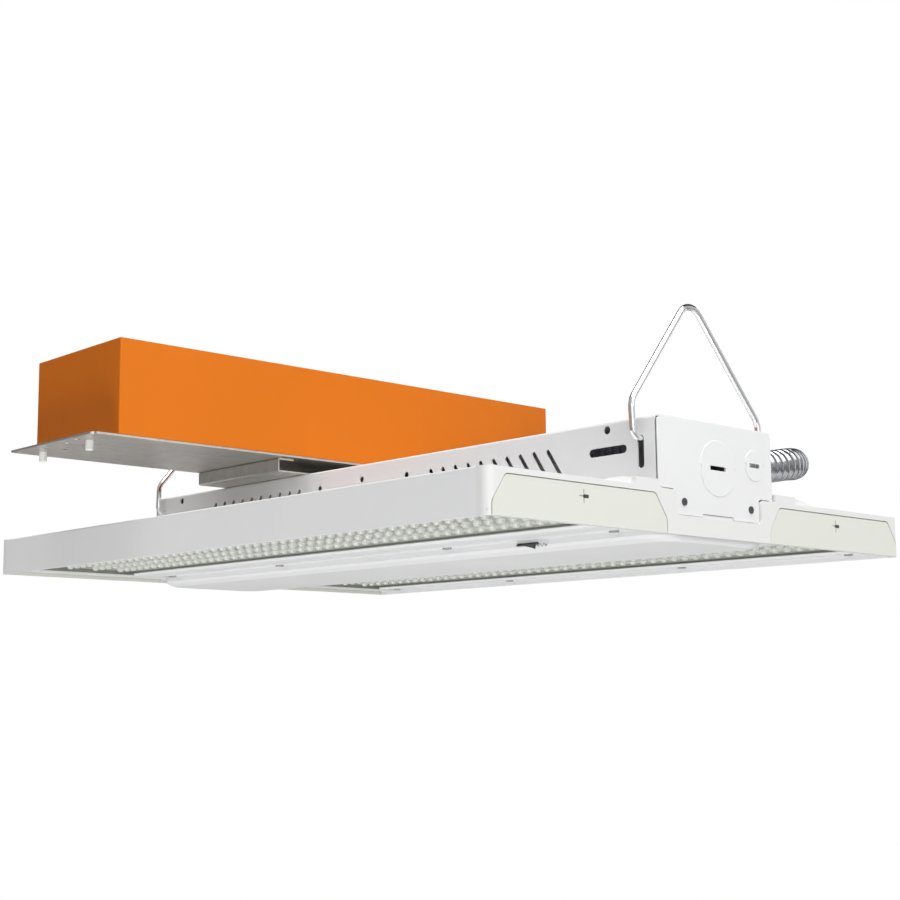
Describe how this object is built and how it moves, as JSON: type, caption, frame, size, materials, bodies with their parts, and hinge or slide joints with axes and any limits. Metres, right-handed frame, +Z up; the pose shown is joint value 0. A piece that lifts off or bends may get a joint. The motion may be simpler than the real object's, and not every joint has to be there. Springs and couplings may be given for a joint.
{
  "type": "high bay light",
  "caption": "Linear LED high bay light with slotted driver channel, clear lens wings, wire V-hooks and an orange emergency battery pack fed by flexible conduit.",
  "frame": {"origin": "centre of the wireway cover's lower face, on which the light rests when it isn't hung", "axes": "+X along the light towards the end with the conduit's connector, +Z up towards the hooks, +Y towards the side where the conduit runs"},
  "size_m": [0.6, 0.5215, 0.1709],
  "materials": {
    "white_steel": "white powder coat, satin",
    "white_cap": "white moulded plastic, satin",
    "panel_offwhite": "off-white moulded plastic",
    "clear_lens": "clear moulded acrylic",
    "aluminium": "mill finish aluminium",
    "led_board": "white circuit board",
    "dark_steel": "blackened spring steel",
    "terminal_plastic": "grey plastic",
    "zinc_wire": "zinc plated wire",
    "white_screws": "white painted screws",
    "zinc_screws": "zinc plated",
    "galvanised_steel": "galvanised sheet",
    "peg_plastic": "white nylon",
    "orange_case": "plain orange powder coat",
    "connector_zinc": "cast zinc",
    "conduit_steel": "corrugated galvanised strip"
  },
  "bodies": {
    "fixture": {"battery_bracket": "galvanised_steel", "battery_pack": "orange_case", "battery_screws": "zinc_screws", "battery_tray": "galvanised_steel", "battery_tray_pegs": "peg_plastic", "conduit_connector_channel": "connector_zinc", "conduit_connector_pack": "connector_zinc", "conduit_locknut": "zinc_screws", "cover_latch": "dark_steel", "cover_screws": "white_screws", "driver_channel": "white_steel", "end_cap_left": "white_cap", "end_cap_right": "white_cap", "end_panel_catches": "dark_steel", "end_panel_left_back": "panel_offwhite", "end_panel_left_front": "panel_offwhite", "end_panel_right_back": "panel_offwhite", "end_panel_right_front": "panel_offwhite", "end_plate_left": "white_steel", "end_plate_right": "white_steel", "end_plate_screws_left": "dark_steel", "end_plate_screws_right": "dark_steel", "flex_conduit": "conduit_steel", "inner_rail_back": "white_steel", "inner_rail_front": "white_steel", "led_boards_back": "led_board", "led_boards_front": "led_board", "led_driver_left": "aluminium", "led_driver_right": "aluminium", "led_tray_back": "aluminium", "led_tray_front": "aluminium", "lens_panel_back": "clear_lens", "lens_panel_front": "clear_lens", "lens_screws": "white_screws", "terminal_block": "terminal_plastic", "wing_housing": "white_steel", "wireway_cover": "white_steel"},
    "hook_right": {"v_hook_right": "zinc_wire"},
    "hook_left": {"v_hook_left": "zinc_wire"}
  },
  "joints": [
    {"name": "hook_right_swing", "type": "hinge", "parent": "fixture", "child": "hook_right", "pos_m": [0.2841, 0, 0.0677], "axis": [0, 1, 0], "range_deg": [-50, 140]},
    {"name": "hook_left_swing", "type": "hinge", "parent": "fixture", "child": "hook_left", "pos_m": [-0.2841, 0, 0.0677], "axis": [0, 1, 0], "range_deg": [-140, 55]}
  ]
}
